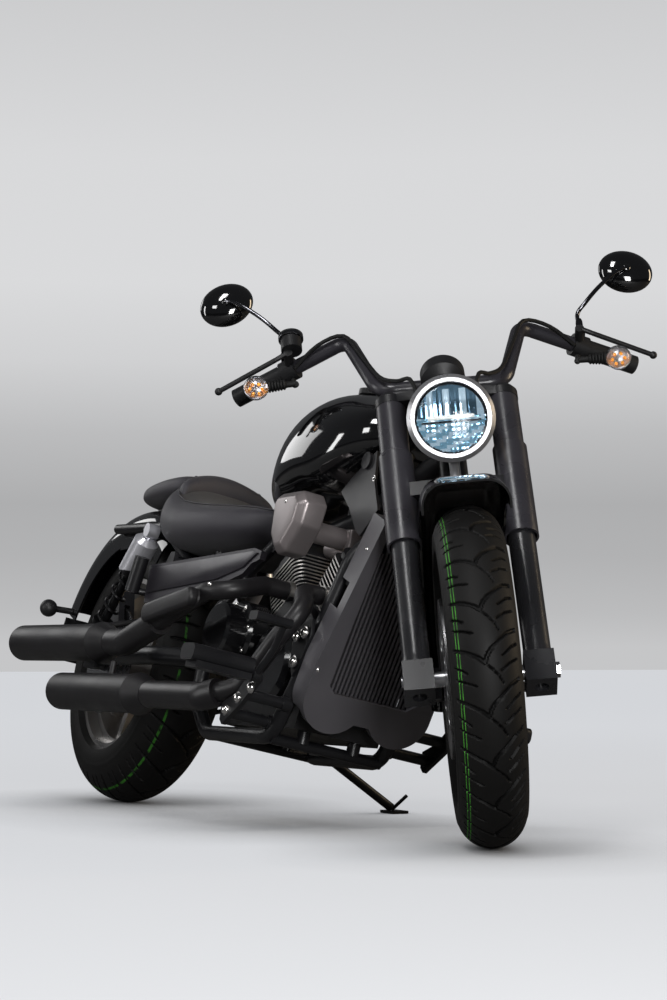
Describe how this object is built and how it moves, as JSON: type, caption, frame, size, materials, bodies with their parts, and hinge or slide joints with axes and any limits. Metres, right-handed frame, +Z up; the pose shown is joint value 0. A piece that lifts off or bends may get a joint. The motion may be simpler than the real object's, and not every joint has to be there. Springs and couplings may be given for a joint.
{
  "type": "custom motorcycle",
  "caption": "Black cruiser motorcycle with a V-twin engine, tall slatted radiator, bucket seat and stacked side exhausts, leaning on its side stand.",
  "frame": {"origin": "on the floor, in the middle of the motorcycle's outline seen from above", "axes": "+X forward along the motorcycle, +Y to the rider's left, +Z up from the floor"},
  "size_m": [2.2974, 1.1693, 1.2605],
  "materials": {
    "frame_black": "satin",
    "shock_silver": "satin",
    "engine_black": "satin",
    "cover_black": "gloss",
    "bronze_grey": "satin",
    "gloss_black": "gloss",
    "trim_black": "matte",
    "satin_grey": "satin",
    "radiator_black": "matte",
    "satin_violet": "satin",
    "seat_cover": "matte",
    "exhaust_black": "matte",
    "belt_rubber": "matte",
    "caliper_grey": "satin",
    "fork_black": "matte",
    "axle_steel": "brushed",
    "headlight_silver": "brushed",
    "lamp_glass": "clear",
    "signal_clear": "gloss",
    "tyre_black": "matte",
    "rim_black": "gloss",
    "disc_steel": "brushed",
    "rim_silver": "satin"
  },
  "bodies": {
    "chassis": {"frame": "frame_black", "swingarm": "frame_black", "rear_shocks": "shock_silver", "crankcase": "engine_black", "engine_covers": "cover_black", "front_cylinder": "engine_black", "rear_cylinder": "engine_black", "air_cleaners": "bronze_grey", "tank": "gloss_black", "tank_console": "trim_black", "neck_covers": "satin_grey", "radiator": "radiator_black", "radiator_shroud": "satin_grey", "oil_filter": "trim_black", "side_covers": "satin_violet", "seat": "seat_cover", "pillion_seat": "seat_cover", "rear_fender": "gloss_black", "rear_lamps": "trim_black", "exhaust_upper": "exhaust_black", "exhaust_lower": "exhaust_black", "heat_shields": "exhaust_black", "foot_controls": "frame_black", "passenger_pegs": "frame_black", "drive_belt": "belt_rubber", "rear_caliper": "caliper_grey"},
    "fork": {"triple_clamps": "frame_black", "fork_covers": "fork_black", "fork_sliders": "gloss_black", "front_axle": "axle_steel", "front_fender": "gloss_black", "headlight_shell": "headlight_silver", "headlight_lens": "lamp_glass", "handlebar": "fork_black", "hand_controls": "trim_black", "mirrors": "gloss_black", "front_signals": "signal_clear", "gauge": "trim_black", "front_caliper": "caliper_grey", "control_cables": "belt_rubber"},
    "front_wheel": {"front_tyre": "tyre_black", "front_rim": "rim_black", "front_disc": "disc_steel"},
    "rear_wheel": {"rear_tyre": "tyre_black", "rear_rim": "rim_silver", "rear_disc": "disc_steel"},
    "stand": {"side_stand": "frame_black"}
  },
  "joints": [
    {"name": "steering", "type": "hinge", "parent": "chassis", "child": "fork", "pos_m": [0.53668, -0.07876, 0.76345], "axis": [-0.5167, 0.1928, 0.8342], "range_deg": [0, 66]},
    {"name": "front_wheel_spin", "type": "hinge", "parent": "fork", "child": "front_wheel", "pos_m": [0.85734, -0.20565, 0.32008], "axis": [0.4667, 0.8803, 0.0856], "continuous": true},
    {"name": "rear_wheel_spin", "type": "hinge", "parent": "chassis", "child": "rear_wheel", "pos_m": [-0.74664, -0.18079, 0.31895], "axis": [0.0005, 0.9744, -0.225], "continuous": true},
    {"name": "stand_fold", "type": "hinge", "parent": "chassis", "child": "stand", "pos_m": [-0.1243, -0.04941, 0.15132], "axis": [0, 0.6026, 0.7981], "range_deg": [0, 85]}
  ]
}
